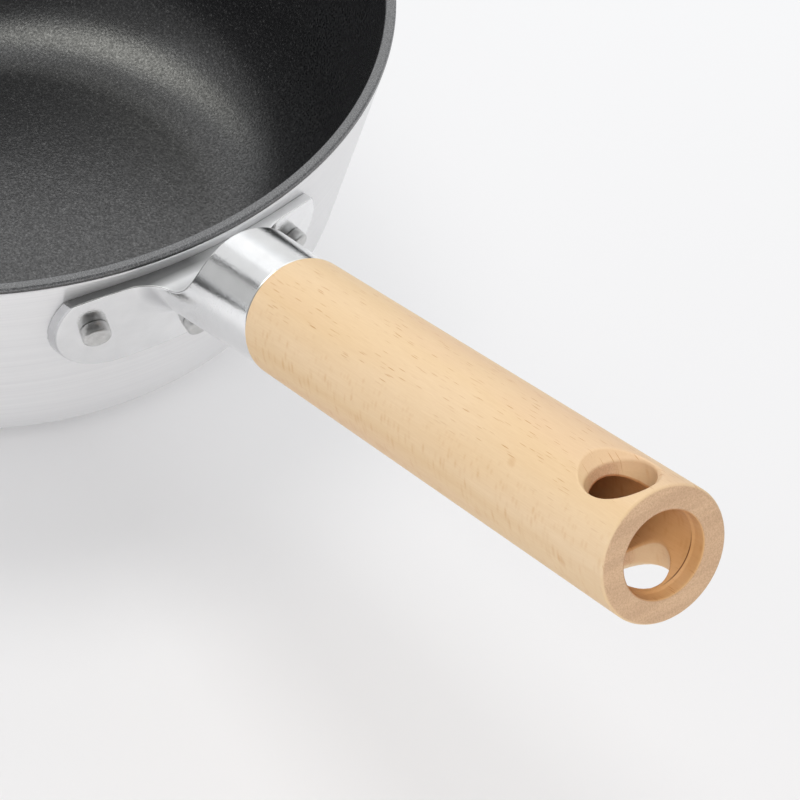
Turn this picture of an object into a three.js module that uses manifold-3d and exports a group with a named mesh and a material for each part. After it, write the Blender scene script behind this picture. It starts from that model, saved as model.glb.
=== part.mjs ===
import * as THREE from 'three';
import { mergeVertices } from 'three/addons/utils/BufferGeometryUtils.js';
import Module from 'manifold-3d';

// Deep frying pan with a riveted bracket and a wooden handle.
// Millimetres, +Z up, origin at the centre of the base, handle along +X.

// Pan shell
const RIM_RADIUS = 100;
const PAN_HEIGHT = 76;
const WALL_LEAN = 15;
const WALL_THICKNESS = 2.2;
const FLOOR_THICKNESS = 3.2;
const OUTER_CORNER_RADIUS = 36;
const INNER_CORNER_RADIUS = 32;

// Lining on the inside and over the rim
const LINING_THICKNESS = 0.4;
const LINING_GAP = 0.05;
const LINING_SKIRT = 1.5;
const RIM_EDGE_RADIUS = 0.8;

// Handle axis: where it meets the rim radius, and how it rises
const AXIS_DROP = 4.8;
const HANDLE_RISE = 16.8;

// Bracket plate and socket neck
const PLATE_THICKNESS = 2.7;
const PLATE_HALF_WIDTH = 34.6;
const EAR_RADIUS = 15.8;
const PLATE_TOP = 0.4;
const EAR_CORNER_DROP = 1.2;
const EAR_CROWN_LENGTH = 12;
const PLATE_BOTTOM = -25.2;
const NECK_LENGTH = 40.5;
const NECK_TIP_RADIUS = 13.4;
const NECK_ROOT_RADIUS = 13.9;
const NECK_FLARE = 6.5;
const NECK_FLARE_BELOW = 1.2;
const NECK_CUT = 20.2;
const NECK_CUT_RADIUS = 13;
const SOCKET_RADIUS = 12;
const SOCKET_DEPTH = 14;

// Rivets
const RIVET_SHANK_RADIUS = 2.8;
const RIVET_TAIL_RADIUS = 3.4;
const RIVET_TAIL_HEIGHT = 2.6;
const RIVET_TAIL_EDGE = 0.7;
const RIVET_HEAD_RADIUS = 6;
const RIVET_HEAD_HEIGHT = 1.8;
const SIDE_RIVET_ANGLE = 15.3;
const SIDE_RIVET_DROP = 16.5;
const LOWER_RIVET_DROP = 26.2;

// Wooden handle
const HANDLE_LENGTH = 135;
const HANDLE_START_RADIUS = 13.85;
const HANDLE_END_RADIUS = 15;
const HANDLE_EDGE = 0.6;
const TENON_LENGTH = 13;
const END_BORE_RADIUS = 9.3;
const END_BORE_DEPTH = 46;
const BORE_MOUTH_RADIUS = 9.6;
const BORE_MOUTH_DEPTH = 3.8;
const BORE_MOUTH_BEVEL = 0.4;
const HANG_HOLE_RADIUS = 7.25;
const HANG_HOLE_FROM_END = 12;
const HANG_HOLE_SINK = 2.7;

// Hidden bolt and washer
const BOLT_RADIUS = 3;
const BOLT_HEAD_RADIUS = 5;
const BOLT_HEAD_HEIGHT = 6;
const BOLT_SOCKET_FLATS = 5;
const BOLT_SOCKET_DEPTH = 3;
const WASHER_RADIUS = 8.4;
const WASHER_THICKNESS = 1.6;

// Clearances
const SEAT_GAP = 0.3;
const HOLE_CLEARANCE = 0.3;
const RIVET_HEAD_GAP = 0.4;

// Facets
const PAN_FACETS = 72;
const PLATE_FACETS = 144;
const NECK_FACETS = 48;
const HANDLE_FACETS = 48;
const HOLE_FACETS = 32;
const SMALL_FACETS = 20;
const CORNER_STEPS = 7;
const EDGE_STEPS = 3;

const rad = THREE.MathUtils.degToRad;
const lean = rad(WALL_LEAN);
const rise = rad(HANDLE_RISE);

// Solids from geometry, and geometry from solids
const wasm = await Module();
wasm.setup();

function toSolid(geometry) {
  const bare = geometry.index ? geometry.clone() : geometry;
  bare.deleteAttribute('normal');
  bare.deleteAttribute('uv');
  const merged = mergeVertices(bare, 1e-4);
  const kept = [];
  for (let i = 0; i < merged.index.count; i += 3) {
    const a = merged.index.getX(i);
    const b = merged.index.getX(i + 1);
    const c = merged.index.getX(i + 2);
    if (a !== b && b !== c && c !== a) kept.push(a, b, c);
  }
  const vertProperties = new Float32Array(merged.attributes.position.array);
  return new wasm.Manifold(new wasm.Mesh({ numProp: 3, vertProperties, triVerts: new Uint32Array(kept) }));
}

function toGeometry(solid) {
  const mesh = solid.getMesh();
  const geometry = new THREE.BufferGeometry();
  geometry.setAttribute('position', new THREE.BufferAttribute(new Float32Array(mesh.vertProperties), 3));
  geometry.setIndex(new THREE.BufferAttribute(new Uint32Array(mesh.triVerts), 1));
  geometry.computeVertexNormals();
  return geometry;
}

function cutAll(solid, tools) {
  return tools.reduce((left, tool) => left.subtract(tool), solid);
}

// Solid of revolution about +Z from [radius, height] points, listed from bottom to top on the outside
function turned(points, facets) {
  const profile = points.map(([r, z]) => new THREE.Vector2(r, z));
  return new THREE.LatheGeometry(profile, facets).rotateX(Math.PI / 2);
}

function turnedAlongX(points, facets) {
  return turned(points, facets).rotateY(Math.PI / 2);
}

function arc(centreR, centreZ, radius, from, to, steps) {
  const points = [];
  for (let i = 0; i <= steps; i += 1) {
    const angle = from + ((to - from) * i) / steps;
    points.push([centreR + radius * Math.cos(angle), centreZ + radius * Math.sin(angle)]);
  }
  return points;
}

// Pan shell and lining share one wall line: offset is measured square to the wall, outwards
const skirtZ = PAN_HEIGHT - LINING_SKIRT;
const liningWall = WALL_THICKNESS + LINING_GAP + LINING_THICKNESS;

function wallRadius(z, offset) {
  return RIM_RADIUS - (skirtZ - z) * Math.tan(lean) + offset / Math.cos(lean);
}

// Points from the axis along a flat floor and round the corner onto the wall line
function bowl(offset, floorZ, cornerRadius) {
  const centreZ = floorZ + cornerRadius;
  const centreR = wallRadius(centreZ, offset) - cornerRadius / Math.cos(lean);
  return [[0, floorZ], ...arc(centreR, centreZ, cornerRadius, -Math.PI / 2, -lean, CORNER_STEPS)];
}

const outside = bowl(0, 0, OUTER_CORNER_RADIUS);
const liningUnder = bowl(
  -WALL_THICKNESS - LINING_GAP, FLOOR_THICKNESS + LINING_GAP, INNER_CORNER_RADIUS + LINING_THICKNESS);
const shellInside = bowl(
  -WALL_THICKNESS, FLOOR_THICKNESS, INNER_CORNER_RADIUS + LINING_THICKNESS + LINING_GAP);
const liningTopZ = FLOOR_THICKNESS + LINING_GAP + LINING_THICKNESS;
const liningInside = bowl(-liningWall, liningTopZ, INNER_CORNER_RADIUS);

// Rim: the lining lies in a step round the shell's edge, flush with the wall below it
const rimUnderZ = PAN_HEIGHT - LINING_THICKNESS;
const shellRimZ = rimUnderZ - LINING_GAP;
const stepRadius = RIM_RADIUS - LINING_THICKNESS;
const outerEdge = arc(
  RIM_RADIUS - RIM_EDGE_RADIUS, PAN_HEIGHT - RIM_EDGE_RADIUS, RIM_EDGE_RADIUS, 0, Math.PI / 2, EDGE_STEPS);
const innerRimRadius = wallRadius(PAN_HEIGHT, -liningWall);
const innerEdge = [
  [innerRimRadius + RIM_EDGE_RADIUS, PAN_HEIGHT],
  [innerRimRadius + RIM_EDGE_RADIUS * 0.3, PAN_HEIGHT - RIM_EDGE_RADIUS * 0.25],
  [wallRadius(PAN_HEIGHT - RIM_EDGE_RADIUS, -liningWall), PAN_HEIGHT - RIM_EDGE_RADIUS],
];
const underEdge = RIM_EDGE_RADIUS - LINING_THICKNESS;

const shellProfile = [
  ...outside,
  [wallRadius(skirtZ - LINING_GAP, 0), skirtZ - LINING_GAP],
  [stepRadius - LINING_GAP, skirtZ - LINING_GAP],
  [stepRadius - LINING_GAP, shellRimZ - underEdge],
  [stepRadius - LINING_GAP - underEdge, shellRimZ],
  [wallRadius(shellRimZ, -WALL_THICKNESS), shellRimZ],
  ...shellInside.toReversed(),
];
const liningProfile = [
  ...liningUnder,
  [wallRadius(rimUnderZ, -WALL_THICKNESS - LINING_GAP), rimUnderZ],
  [stepRadius - underEdge, rimUnderZ],
  [stepRadius, rimUnderZ - underEdge],
  [stepRadius, skirtZ],
  [RIM_RADIUS, skirtZ],
  ...outerEdge,
  ...innerEdge,
  ...liningInside.toReversed(),
];

// Rivet places: a frame with its Z axis square to the wall, pointing out, on the wall's outer face
function rivetFrame(angle, drop) {
  const z = PAN_HEIGHT - drop;
  const around = rad(angle);
  const outward = new THREE.Vector3(Math.cos(around), Math.sin(around), 0);
  const normal = outward.clone().multiplyScalar(Math.cos(lean)).setZ(-Math.sin(lean));
  const side = new THREE.Vector3(-Math.sin(around), Math.cos(around), 0);
  const upward = normal.clone().cross(side);
  const frame = new THREE.Matrix4().makeBasis(side, upward, normal);
  return frame.setPosition(outward.multiplyScalar(wallRadius(z, 0)).setZ(z));
}

const rivets = [
  { name: 'rivet_left', frame: rivetFrame(-SIDE_RIVET_ANGLE, SIDE_RIVET_DROP) },
  { name: 'rivet_right', frame: rivetFrame(SIDE_RIVET_ANGLE, SIDE_RIVET_DROP) },
  { name: 'rivet_lower', frame: rivetFrame(0, LOWER_RIVET_DROP) },
];

const plateFront = SEAT_GAP + PLATE_THICKNESS;
const tailSeat = plateFront + SEAT_GAP;
const tailTop = tailSeat + RIVET_TAIL_HEIGHT;
const headSeat = -liningWall - RIVET_HEAD_GAP;
const rivetHoleRadius = RIVET_SHANK_RADIUS + HOLE_CLEARANCE;

const rivetProfile = [
  [0, headSeat - RIVET_HEAD_HEIGHT],
  [RIVET_HEAD_RADIUS * 0.6, headSeat - RIVET_HEAD_HEIGHT * 0.85],
  [RIVET_HEAD_RADIUS * 0.88, headSeat - RIVET_HEAD_HEIGHT * 0.5],
  [RIVET_HEAD_RADIUS, headSeat],
  [RIVET_SHANK_RADIUS, headSeat],
  [RIVET_SHANK_RADIUS, tailSeat],
  [RIVET_TAIL_RADIUS, tailSeat],
  ...arc(RIVET_TAIL_RADIUS - RIVET_TAIL_EDGE, tailTop - RIVET_TAIL_EDGE, RIVET_TAIL_EDGE,
    0, Math.PI / 2, EDGE_STEPS),
  [0, tailTop],
];

function rivetHole(frame) {
  const reach = tailTop + RIVET_HEAD_HEIGHT;
  const hole = turned(
    [[0, -reach], [rivetHoleRadius, -reach], [rivetHoleRadius, reach], [0, reach]], SMALL_FACETS);
  return toSolid(hole.applyMatrix4(frame));
}

const rivetHoles = rivets.map(({ frame }) => rivetHole(frame));

// Handle frame: X along the handle axis, Y across, Z square to the axis and up
const handleFrame = new THREE.Matrix4().makeRotationY(-rise);
handleFrame.setPosition(RIM_RADIUS, 0, PAN_HEIGHT - AXIS_DROP);

// Distance along the handle axis to the wall's offset face, at (y, b) in the handle frame
function axisToWall(y, b, offset) {
  let low = -RIM_RADIUS * 0.6;
  let high = RIM_RADIUS * 0.6;
  for (let i = 0; i < 40; i += 1) {
    const middle = (low + high) / 2;
    const point = new THREE.Vector3(middle, y, b).applyMatrix4(handleFrame);
    if (Math.hypot(point.x, point.y) > wallRadius(point.z, offset)) high = middle;
    else low = middle;
  }
  return (low + high) / 2;
}

// Bracket plate: a shell along the wall, trimmed along the handle axis to the eared outline
function plateOutline() {
  const centreY = PLATE_HALF_WIDTH - EAR_RADIUS;
  const centreB = PLATE_BOTTOM + EAR_RADIUS;
  const cornerB = PLATE_TOP - EAR_CORNER_DROP;
  const topAngle = Math.asin((cornerB - centreB) / EAR_RADIUS);
  const cornerY = centreY + EAR_RADIUS * Math.cos(topAngle);
  const crownY = cornerY - EAR_CROWN_LENGTH;
  const bendY = (cornerY + crownY) / 2;
  const shape = new THREE.Shape();
  shape.absarc(centreY, centreB, EAR_RADIUS, -Math.PI / 2, topAngle, false);
  shape.quadraticCurveTo(bendY, PLATE_TOP, crownY, PLATE_TOP);
  shape.lineTo(-crownY, PLATE_TOP);
  shape.quadraticCurveTo(-bendY, PLATE_TOP, -cornerY, cornerB);
  shape.absarc(-centreY, centreB, EAR_RADIUS, Math.PI - topAngle, Math.PI * 1.5, false);
  shape.closePath();
  return shape;
}

const alongAxis = new THREE.Matrix4().makeBasis(
  new THREE.Vector3(0, 1, 0), new THREE.Vector3(0, 0, 1), new THREE.Vector3(1, 0, 0));

function platePrism() {
  const depth = RIM_RADIUS * 0.8;
  const prism = new THREE.ExtrudeGeometry(plateOutline(), { depth, bevelEnabled: false, curveSegments: 14 });
  prism.translate(0, 0, -depth / 2).applyMatrix4(alongAxis).applyMatrix4(handleFrame);
  return toSolid(prism);
}

function wallShell(inner, outer) {
  const low = skirtZ - 2 * PLATE_HALF_WIDTH;
  const high = skirtZ + PLATE_HALF_WIDTH;
  return toSolid(turned([
    [wallRadius(low, inner), low],
    [wallRadius(low, outer), low],
    [wallRadius(high, outer), high],
    [wallRadius(high, inner), high],
    [wallRadius(low, inner), low],
  ], PLATE_FACETS));
}

function wallCore(offset) {
  const high = skirtZ + PLATE_HALF_WIDTH;
  return toSolid(turned([
    [0, 0], [wallRadius(0, offset), 0], [wallRadius(high, offset), high], [0, high],
  ], PLATE_FACETS));
}

// Bracket neck: rings from the tip to the plate, with a concave flare that is widest at both sides
function neck() {
  const flareSteps = 6;
  const rings = flareSteps + 4;
  const positions = [];
  const index = [];
  for (let ring = 0; ring < rings; ring += 1) {
    for (let j = 0; j < NECK_FACETS; j += 1) {
      const angle = (j / NECK_FACETS) * Math.PI * 2;
      const flare = NECK_FLARE_BELOW + (NECK_FLARE - NECK_FLARE_BELOW) * Math.abs(Math.cos(angle)) ** 1.5;
      const turn = (Math.max(0, Math.min(flareSteps, ring - 2)) / flareSteps) * (Math.PI / 2);
      const spread = ring === 0 ? NECK_TIP_RADIUS : NECK_ROOT_RADIUS + flare * (1 - Math.cos(turn));
      const y = spread * Math.cos(angle);
      const b = spread * Math.sin(angle);
      const front = axisToWall(y, b, plateFront);
      let x = front + flare * (1 - Math.sin(turn));
      if (ring === 0) x = NECK_LENGTH;
      if (ring === 1) x = front + NECK_FLARE + 1;
      if (ring === rings - 1) x = front - PLATE_THICKNESS - 2 * SEAT_GAP;
      positions.push(x, y, b);
      const next = (j + 1) % NECK_FACETS;
      if (ring > 0) {
        const from = (ring - 1) * NECK_FACETS;
        const to = ring * NECK_FACETS;
        index.push(from + j, to + j, to + next, from + j, to + next, from + next);
      }
    }
  }
  const tip = rings * NECK_FACETS;
  const last = (rings - 1) * NECK_FACETS;
  positions.push(NECK_LENGTH, 0, 0, axisToWall(0, 0, -PLATE_THICKNESS), 0, 0);
  for (let j = 0; j < NECK_FACETS; j += 1) {
    const next = (j + 1) % NECK_FACETS;
    index.push(tip, j, next, tip + 1, last + next, last + j);
  }
  const geometry = new THREE.BufferGeometry();
  geometry.setAttribute('position', new THREE.Float32BufferAttribute(positions, 3));
  geometry.setIndex(index);
  return toSolid(geometry.applyMatrix4(handleFrame));
}

// Space above the bracket's ledge: flat at the plate's top, curving up to the neck's back face
function ledgeCut() {
  const far = RIM_RADIUS;
  const shape = new THREE.Shape();
  shape.moveTo(-far, PLATE_TOP);
  shape.lineTo(NECK_CUT - NECK_CUT_RADIUS, PLATE_TOP);
  shape.absarc(NECK_CUT - NECK_CUT_RADIUS, PLATE_TOP + NECK_CUT_RADIUS, NECK_CUT_RADIUS,
    -Math.PI / 2, 0, false);
  shape.lineTo(NECK_CUT, far);
  shape.lineTo(-far, far);
  shape.closePath();
  const cut = new THREE.ExtrudeGeometry(shape, { depth: 2 * far, bevelEnabled: false, curveSegments: 10 });
  cut.translate(0, 0, -far).rotateX(Math.PI / 2);
  return toSolid(cut.applyMatrix4(handleFrame));
}

function holeAlongHandle(radius, from, to, facets) {
  return turnedAlongX([[0, from], [radius, from], [radius, to], [0, to]], facets);
}

const boltHoleRadius = BOLT_RADIUS + HOLE_CLEARANCE;
const socketFloor = NECK_LENGTH - SOCKET_DEPTH;
const bracketTools = [
  wallCore(SEAT_GAP),
  ledgeCut(),
  toSolid(holeAlongHandle(SOCKET_RADIUS, socketFloor, NECK_LENGTH + 1, HANDLE_FACETS).applyMatrix4(handleFrame)),
  toSolid(holeAlongHandle(boltHoleRadius, NECK_CUT - 1, NECK_LENGTH, SMALL_FACETS).applyMatrix4(handleFrame)),
  ...rivetHoles,
];
const plate = wallShell(SEAT_GAP, plateFront).intersect(platePrism());
const bracket = cutAll(plate.add(neck()), bracketTools);

// Wooden handle, in the handle frame
const handleStart = NECK_LENGTH + SEAT_GAP;
const handleEnd = handleStart + HANDLE_LENGTH;
const tenonRadius = SOCKET_RADIUS - SEAT_GAP;
const tenonStart = handleStart - TENON_LENGTH;
const boreFloor = handleEnd - END_BORE_DEPTH;
const hangX = handleEnd - HANG_HOLE_FROM_END;

const handleProfile = [
  [0, tenonStart],
  [tenonRadius, tenonStart],
  [tenonRadius, handleStart],
  [HANDLE_START_RADIUS - HANDLE_EDGE * 0.5, handleStart],
  [HANDLE_START_RADIUS, handleStart + HANDLE_EDGE * 0.5],
  ...arc(HANDLE_END_RADIUS - HANDLE_EDGE, handleEnd - HANDLE_EDGE, HANDLE_EDGE, 0, Math.PI / 2, EDGE_STEPS),
  [0, handleEnd],
];

// Hanging hole across the handle, countersunk at both faces
function hangHole() {
  const skin = HANDLE_END_RADIUS - HANG_HOLE_SINK;
  const reach = HANDLE_END_RADIUS + HANG_HOLE_RADIUS;
  const wide = HANG_HOLE_RADIUS + reach - skin;
  return toSolid(turned([
    [0, -reach], [wide, -reach], [HANG_HOLE_RADIUS, -skin],
    [HANG_HOLE_RADIUS, skin], [wide, reach], [0, reach],
  ], HOLE_FACETS).translate(hangX, 0, 0));
}

function endBore() {
  const mouth = BORE_MOUTH_RADIUS + BORE_MOUTH_BEVEL;
  return toSolid(turnedAlongX([
    [0, boreFloor],
    [END_BORE_RADIUS, boreFloor],
    [END_BORE_RADIUS, handleEnd - BORE_MOUTH_DEPTH],
    [BORE_MOUTH_RADIUS, handleEnd - BORE_MOUTH_DEPTH],
    [BORE_MOUTH_RADIUS, handleEnd - BORE_MOUTH_BEVEL],
    [mouth + 1, handleEnd + 1],
    [0, handleEnd + 1],
  ], HANDLE_FACETS));
}

const handle = cutAll(toSolid(turnedAlongX(handleProfile, HANDLE_FACETS)), [
  endBore(),
  toSolid(holeAlongHandle(boltHoleRadius, tenonStart - 1, boreFloor + 1, SMALL_FACETS)),
  hangHole(),
]);

// Bolt and washer, in the handle frame
const washerStart = boreFloor + SEAT_GAP;
const headStart = washerStart + WASHER_THICKNESS + SEAT_GAP;
const headEnd = headStart + BOLT_HEAD_HEIGHT;

function bolt() {
  const body = toSolid(turnedAlongX([
    [0, NECK_CUT],
    [BOLT_RADIUS, NECK_CUT],
    [BOLT_RADIUS, headStart],
    [BOLT_HEAD_RADIUS, headStart],
    [BOLT_HEAD_RADIUS, headEnd],
    [0, headEnd],
  ], SMALL_FACETS));
  const keyRadius = BOLT_SOCKET_FLATS / 2 / Math.cos(Math.PI / 6);
  return body.subtract(toSolid(holeAlongHandle(keyRadius, headEnd - BOLT_SOCKET_DEPTH, headEnd + 1, 6)));
}

const washerProfile = [
  [boltHoleRadius, washerStart],
  [WASHER_RADIUS, washerStart],
  [WASHER_RADIUS, washerStart + WASHER_THICKNESS],
  [boltHoleRadius, washerStart + WASHER_THICKNESS],
  [boltHoleRadius, washerStart],
];

// Looks
const aluminium = { color: 0xd9dadb, roughness: 0.38, metalness: 0.9 };
const polished = { color: 0xc9cccf, roughness: 0.16, metalness: 1 };
const rivetMetal = { color: 0xb9babb, roughness: 0.45, metalness: 0.9 };
const lining = { color: 0x2b2b2c, roughness: 0.6, metalness: 0.1 };
const beech = { color: 0xdcb27c, roughness: 0.55, metalness: 0 };
const steel = { color: 0x9a9c9e, roughness: 0.4, metalness: 1 };

function named(name, solid, look) {
  const mesh = new THREE.Mesh(toGeometry(solid), new THREE.MeshStandardMaterial(look));
  mesh.name = name;
  return mesh;
}

const pan = new THREE.Group();
pan.add(named('pan_body', cutAll(toSolid(turned(shellProfile, PAN_FACETS)), rivetHoles), aluminium));
pan.add(named('nonstick_coating', cutAll(toSolid(turned(liningProfile, PAN_FACETS)), rivetHoles), lining));
pan.add(named('handle_bracket', bracket, polished));
for (const { name, frame } of rivets) {
  const rivet = named(name, toSolid(turned(rivetProfile, SMALL_FACETS)), rivetMetal);
  rivet.applyMatrix4(frame);
  pan.add(rivet);
}

const handleGroup = new THREE.Group();
handleGroup.applyMatrix4(handleFrame);
handleGroup.add(named('wood_handle', handle, beech));
handleGroup.add(named('handle_bolt', bolt(), steel));
handleGroup.add(named('bolt_washer', toSolid(turnedAlongX(washerProfile, SMALL_FACETS)), steel));
pan.add(handleGroup);

export default pan;
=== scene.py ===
import math

import bpy
import numpy as np
from mathutils import Matrix, Vector


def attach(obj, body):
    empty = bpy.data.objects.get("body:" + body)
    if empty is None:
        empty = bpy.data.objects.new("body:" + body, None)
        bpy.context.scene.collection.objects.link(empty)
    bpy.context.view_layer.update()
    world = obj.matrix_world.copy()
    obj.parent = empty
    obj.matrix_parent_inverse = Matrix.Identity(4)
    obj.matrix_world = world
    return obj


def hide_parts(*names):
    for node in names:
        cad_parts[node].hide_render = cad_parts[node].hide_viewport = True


# Deep frying pan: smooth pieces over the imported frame, their materials, and a pale studio.
# The pan's and the camera's sizes are in millimetres, the studio's in metres. Angles are written in degrees.
MM = 0.001

# Pan shell and lining
RIM_RADIUS = 100
PAN_HEIGHT = 76
WALL_LEAN = math.radians(15)
WALL_THICKNESS = 2.2
FLOOR_THICKNESS = 3.2
OUTER_CORNER_RADIUS = 36
INNER_CORNER_RADIUS = 32
LINING_THICKNESS = 0.4
LINING_GAP = 0.05
LINING_SKIRT = 1.5
RIM_EDGE_RADIUS = 0.6
SKIRT_GROOVE = 0.35
SKIRT_GROOVE_DEPTH = 0.04
SKIRT_STEP_LIP = 0.02
PAN_SEGMENTS = 300
PROFILE_STEP = 6
CORNER_STEPS = 40
RIM_EDGE_STEPS = 7
SKIRT_FOOT_STEPS = 3

# Handle axis
AXIS_DROP = 4.8
HANDLE_RISE = math.radians(16.8)

# Bracket
SEAT_GAP = 0.3
SEEN_GAP = 0.03
PLATE_THICKNESS = 2.7
PLATE_HALF_WIDTH = 34.6
EAR_RADIUS = 15.8
PLATE_TOP = 0.4
PLATE_BOTTOM = -25.2
EAR_CORNER_DROP = 1.2
EAR_CROWN_LENGTH = 12
NECK_LENGTH = 40.5
NECK_TIP_RADIUS = 13.4
NECK_ROOT_RADIUS = 13.9
NECK_TAPER_START = 9.5
NECK_FLARE = 6.5
NECK_FLARE_BELOW = 1.2
NECK_FLARE_POWER = 1.5
NECK_CUT = 20.2
NECK_CUT_RADIUS = 13
SOCKET_RADIUS = 12
SOCKET_DEPTH = 14
BRACKET_EDGE = 0.45
BRACKET_BACK_EDGE = BRACKET_EDGE / 4
BRACKET_CELL = 0.36
BRACKET_EDGE_CELL = 0.22

# Rivets, with the dish in their ends as shares of its radius and depths
RIVET_SHANK_RADIUS = 2.8
RIVET_TAIL_RADIUS = 3.4
RIVET_TAIL_HEIGHT = 2.6
RIVET_TAIL_FOOT = 0.15
RIVET_TAIL_EDGE = 0.7
RIVET_TAIL_EDGE_STEPS = 6
RIVET_TAIL_DISH = ((0.5, 0.08), (0.3, 0.2), (0, 0.22))
RIVET_HEAD_RADIUS = 6
RIVET_HEAD_HEIGHT = 1.8
RIVET_HEAD_POWER = 0.8
RIVET_HEAD_POINTS = 10
RIVET_HEAD_GAP = 0.4
RIVET_HOLE_RADIUS = 3.1
SIDE_RIVET_ANGLE = math.radians(15.3)
SIDE_RIVET_DROP = 16.5
LOWER_RIVET_DROP = 26.2
RIVET_SEGMENTS = 48

# Wooden handle
HANDLE_LENGTH = 135
HANDLE_START_RADIUS = 13.85
HANDLE_END_RADIUS = 15
HANDLE_EDGE = 0.75
TENON_LENGTH = 13
END_BORE_RADIUS = 9.3
END_BORE_DEPTH = 46
BORE_MOUTH_RADIUS = 9.6
BORE_MOUTH_DEPTH = 3.8
BORE_STEP_LENGTH = 0.9
BORE_EDGE = 0.35
BOLT_HOLE_RADIUS = 3.3
HANG_HOLE_RADIUS = 7.25
HANG_HOLE_FROM_END = 12
HANG_HOLE_SINK = 2.7
HANG_HOLE_EDGE = 0.3
HANDLE_CELL = 0.36
HANDLE_LONG_CELL = 1.5

# Grids that meet the bracket's and the handle's surfaces
GRID_MARGIN = 1
FINE_BELOW_LEDGE = 3
FINE_ABOVE_LEDGE = 0.5
SLOPE_STEP = 0.002
SETTLE_ROUNDS = 5
SETTLE_STEP = 0.36
NEARLY_ZERO = 1e-6
LEAST_LENGTH = 1e-9

# Patterns, in repeats per metre, one for each axis where they are stretched
LINING_MOTTLE = 1800
RIM_GRAIN = 3000
SPUN_LINES = (14, 14, 1500)
CASTING_CLOUDS = 160
CASTING_GRAIN = 2200
RIVET_CLOUDS = 500
STEEL_CLOUDS = 700
WOOD_CLOUDS = (8, 55, 55)
WOOD_RINGS = (5, 40, 420)
WOOD_FIBRES = (160, 3000, 3000)
WOOD_FLECKS = (140, 2500, 75)
WOOD_RIBBONS = (760, 900, 240)
WOOD_SPOTS = (40, 46, 46)
WOOD_PORES = 2800

# Tones: places on a pattern with their colours, or a tint that multiplies what is under it
LINING_TONES = (
    (0.36, (0.012, 0.012, 0.013)), (0.5, (0.018, 0.0185, 0.02)),
    (0.64, (0.036, 0.036, 0.037)), (0.76, (0.13, 0.13, 0.13)))
RIM_TONES = ((0.34, (0.05, 0.051, 0.053)), (0.5, (0.095, 0.097, 0.1)), (0.66, (0.2, 0.202, 0.208)))
SHELL_TONES = ((0.3, (0.86, 0.86, 0.87)), (0.7, (0.93, 0.93, 0.935)))
CASTING_TONES = ((0.3, (0.87, 0.875, 0.88)), (0.7, (0.93, 0.935, 0.94)))
# Painted shade: tint that darkens the plate's side faces near the wall
CASTING_SIDE_SHADE_TINT = (0.72, 0.72, 0.73)
# Painted shade: tint that darkens the ledge in its corner against the wall
CASTING_CORNER_SHADE_TINT = (0.1, 0.1, 0.1)
RIVET_TONES = ((0.3, (0.56, 0.56, 0.55)), (0.7, (0.76, 0.76, 0.755)))
STEEL_TONES = ((0.3, (0.5, 0.5, 0.51)), (0.7, (0.66, 0.66, 0.67)))
WOOD_TONES = ((0.32, (0.85, 0.595, 0.375)), (0.5, (0.86, 0.625, 0.37)), (0.68, (0.88, 0.66, 0.425)))
RING_TINT = (0.95, 0.9, 0.83)
FIBRE_TINT = (0.93, 0.9, 0.86)
FLECK_TINT = (0.7, 0.5, 0.31)
RIBBON_TINT = (0.92, 0.84, 0.74)
SPOT_TINT = (0.84, 0.7, 0.54)
END_TONES = ((0.3, (0.66, 0.425, 0.25)), (0.5, (0.755, 0.5, 0.305)), (0.72, (0.83, 0.57, 0.365)))
END_RING_TINT = (0.87, 0.84, 0.83)
# Painted light and shade in the end bore: darker deep on the upper left, lighter on the lower right
BORE_LIGHT_AND_SHADE_TINTS = ((0.0, (0.66, 0.4, 0.25)), (1.0, (0.9, 0.73, 0.54)))
BORE_LINE_TINT = (0.3, 0.2, 0.14)
# Painted light: the floor paper is darker near the camera and paler away from it
PAPER_FALLOFF_TONES = ((0.0, (0.86, 0.848, 0.852)), (1.0, (0.975, 0.985, 0.998)))

# Finishes: values from one end of a pattern's range to the other, and bumps in millimetres
NOISE_RANGE = (0.3, 0.7)
LINING_GLOSS_RANGE = (0.36, 0.66)
LINING_GLOSS = (0.54, 0.98)
LINING_ROUGHNESS = (0.3, 0.21)
LINING_BUMP = 0.1
SHELL_ROUGHNESS = (0.28, 0.38)
SHELL_BUMP = 0.02
POLISHED_ROUGHNESS = (0.06, 0.2)
SATIN_ROUGHNESS = 0.3
SATIN_METALLIC = 0.5
CASTING_BUMP = 0.06
RIVET_ROUGHNESS = (0.38, 0.5)
RIVET_BUMP = 0.2
STEEL_ROUGHNESS = (0.3, 0.45)
WOOD_ROUGHNESS = (0.62, 0.5)
WOOD_BUMP = 0.03

# Marks: how much of each cell or pattern they take up, and their strengths
CHANCE_RANGE = (0.1, 0.9)
FLECK_SIZE = (0.13, 0.23)
FLECK_DEPTHS = (0.45, 1.0)
FLECK_STRENGTHS = (0.5, 1.0)
FLECK_FADE = (0.0, 0.7)
RIBBON_SIZE = (0.15, 0.5)
SPOT_SIZE = (0.05, 0.09)
SPOT_STRENGTH = 0.8
RING_RANGE = (0.42, 0.72)
RING_STRENGTH = 0.5
END_RING_RANGE = (0.38, 0.6)
END_RING_STRENGTH = 0.8
FIBRE_STRENGTH = 0.6
# Strength of the painted shade in the ledge's corner
CORNER_SHADE_STRENGTH = 0.85

# How far a face turns to a side at the two ends of a mask, as a part of its unit normal
LEDGE_UPWARD = (0.5, 0.8)
SCOOP_BACKWARD = (-0.4, -0.15)
# Side faces of the plate that get painted shade
PLATE_SHADED_SIDEWAYS = (0.5, 0.75)
WOOD_SIDEWAYS = (0.62, 0.95)
WOOD_ENDWAYS = (0.78, 0.97)

# Where tones change, from one place to another in millimetres
# Below this line the skirt keeps the dark inside tones, as painted shade under the rim's edge
SKIRT_SHADE_LINE = (PAN_HEIGHT - LINING_SKIRT + 0.65, PAN_HEIGHT - LINING_SKIRT + 0.75)
LEDGE_HEIGHTS = (3, 6)
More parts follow.
